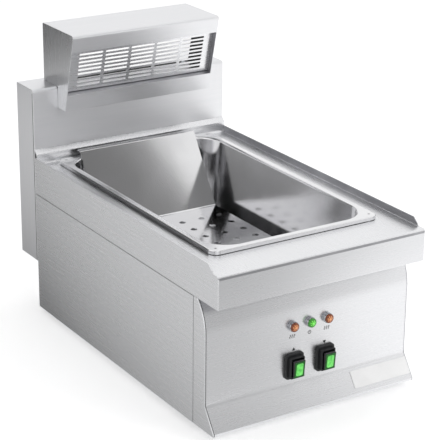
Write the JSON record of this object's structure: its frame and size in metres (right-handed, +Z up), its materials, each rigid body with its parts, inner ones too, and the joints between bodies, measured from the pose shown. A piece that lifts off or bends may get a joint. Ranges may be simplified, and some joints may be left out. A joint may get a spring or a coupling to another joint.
{
  "type": "chip warmer",
  "caption": "Table-top stainless chip warmer: heated casing with a lift-out pan and sloped insert, lamps and rocker switches on the front, and a slotted radiant hood on a rear upstand.",
  "frame": {"origin": "on the surface it stands on, below the middle of its overall width and depth", "axes": "+X to the right as seen from the front, +Y from the controls to the upstand, +Z up"},
  "size_m": [0.4, 0.685, 0.532],
  "materials": {
    "brushed_steel": "brushed stainless sheet",
    "bright_steel": "bright drawn stainless",
    "plated_steel": "zinc plated",
    "chrome": "polished chrome",
    "amber_lens": "translucent glossy amber",
    "green_lens": "translucent glossy green",
    "switch_window": "translucent glossy green",
    "black_plastic": "satin black moulding",
    "rocker": "glossy black moulding",
    "white_plastic": "natural polyamide",
    "ceramic": "matt white",
    "mineral_wool": "fibrous slab",
    "rubber": "moulded black rubber",
    "element_steel": "heat-darkened sheath",
    "brass": "turned brass",
    "cable": "heat-resistant sleeving",
    "label": "blank satin white"
  },
  "bodies": {
    "casing": {"back_panel": "brushed_steel", "base_tray": "brushed_steel", "bonding_stud": "brass", "cable_gland": "black_plastic", "control_loom": "cable", "cover_screw_left": "plated_steel", "cover_screw_right": "plated_steel", "element_nut_left": "brass", "element_nut_right": "brass", "element_support_front": "plated_steel", "element_support_rear": "plated_steel", "emitter_block": "ceramic", "emitter_bracket": "plated_steel", "foot_front_left": "rubber", "foot_front_right": "rubber", "foot_rear_left": "rubber", "foot_rear_right": "rubber", "front_fascia": "brushed_steel", "gland_locknut": "black_plastic", "hood_back_cover": "brushed_steel", "hood_bolt_left": "plated_steel", "hood_bolt_right": "plated_steel", "hood_floor": "bright_steel", "hood_grille": "brushed_steel", "hood_leads": "cable", "hood_shell": "brushed_steel", "insulation_tray": "plated_steel", "label_plate": "label", "lamp_left_bezel": "chrome", "lamp_left_lens": "amber_lens", "lamp_middle_bezel": "chrome", "lamp_middle_lens": "green_lens", "lamp_right_bezel": "chrome", "lamp_right_lens": "amber_lens", "lead_grommet": "rubber", "lower_element": "element_steel", "pan_thermostat": "black_plastic", "radiant_plate": "ceramic", "radiant_tray": "bright_steel", "safety_cutout": "black_plastic", "side_panel_left": "brushed_steel", "side_panel_right": "brushed_steel", "switch_left_housing": "black_plastic", "switch_right_housing": "black_plastic", "terminal_block": "white_plastic", "upstand_bolt_left": "plated_steel", "upstand_bolt_right": "plated_steel", "upstand_bottom": "brushed_steel", "upstand_cover": "brushed_steel", "upstand_shell": "brushed_steel", "well_box": "plated_steel", "well_insulation": "mineral_wool", "worktop": "brushed_steel"},
    "pan": {"gastro_pan": "bright_steel"},
    "insert": {"fry_insert": "bright_steel"},
    "left_rocker": {"switch_left_rocker": "rocker", "switch_left_window": "switch_window"},
    "right_rocker": {"switch_right_rocker": "rocker", "switch_right_window": "switch_window"}
  },
  "joints": [
    {"name": "pan_lift", "type": "slide", "parent": "casing", "child": "pan", "axis": [0, 0, 1], "range_m": [0, 0.07]},
    {"name": "insert_tip", "type": "hinge", "parent": "pan", "child": "insert", "pos_m": [0, -0.2215, 0.1468], "axis": [1, 0, 0], "range_deg": [0, 25]},
    {"name": "left_switch", "type": "hinge", "parent": "casing", "child": "left_rocker", "pos_m": [-0.0305, -0.3115, 0.085], "axis": [1, 0, 0], "range_deg": [-12, 0]},
    {"name": "right_switch", "type": "hinge", "parent": "casing", "child": "right_rocker", "pos_m": [0.0305, -0.3115, 0.085], "axis": [1, 0, 0], "range_deg": [-12, 0]}
  ]
}
